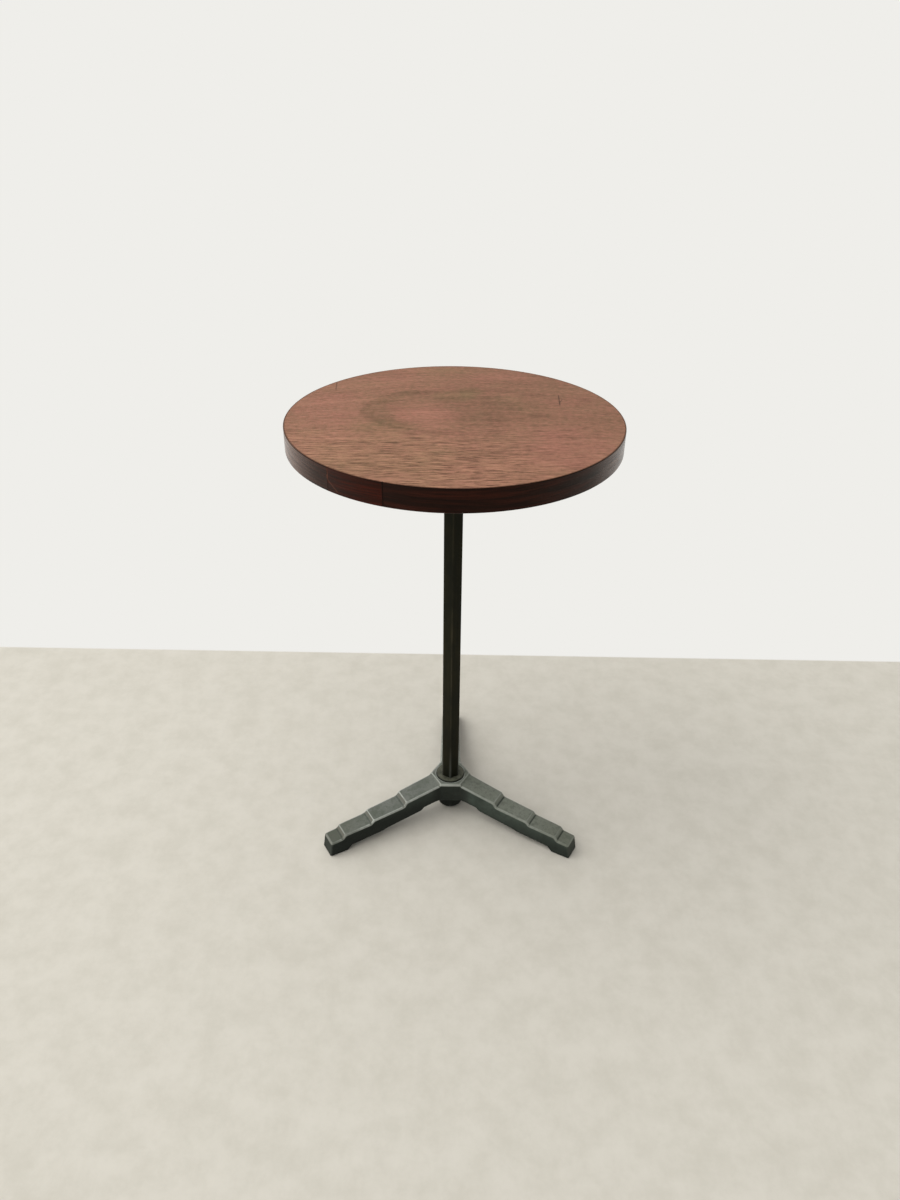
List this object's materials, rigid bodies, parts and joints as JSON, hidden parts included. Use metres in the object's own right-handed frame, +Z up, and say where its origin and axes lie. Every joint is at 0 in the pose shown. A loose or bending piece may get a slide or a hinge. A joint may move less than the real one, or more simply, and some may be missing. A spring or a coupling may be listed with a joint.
{
  "type": "wine table",
  "caption": "Small round wine table: a veneered disc top with an edging strip, on a slim hexagonal post that rises from a cast base with stepped, outspread legs.",
  "frame": {"origin": "on the floor under the post's axis", "axes": "+Z up along the post, +Y along the back leg, +X to the right as seen from the front"},
  "size_m": [0.37, 0.3736, 0.57],
  "materials": {
    "core_board": "raw",
    "face_veneer": "satin",
    "backing_veneer": "matt",
    "edging": "satin lacquer",
    "plate_steel": "blackened",
    "zinc_steel": "zinc plated",
    "post_finish": "satin",
    "collar_finish": "satin",
    "base_casting": "satin paint, worn at the arrises",
    "felt": "felt"
  },
  "bodies": {
    "root": {"top_core": "core_board", "face_veneer": "face_veneer", "backing_veneer": "backing_veneer", "edge_strip_main": "edging", "edge_strip_closing": "edging", "mounting_plate": "plate_steel", "plate_screws": "zinc_steel", "post_top_bolt": "zinc_steel", "post": "post_finish", "post_collar": "collar_finish", "tripod_base": "base_casting", "base_bolt": "zinc_steel", "base_washer": "zinc_steel", "base_lock_washer": "zinc_steel", "foot_pad_back": "felt", "foot_pad_left": "felt", "foot_pad_right": "felt"}
  },
  "joints": []
}
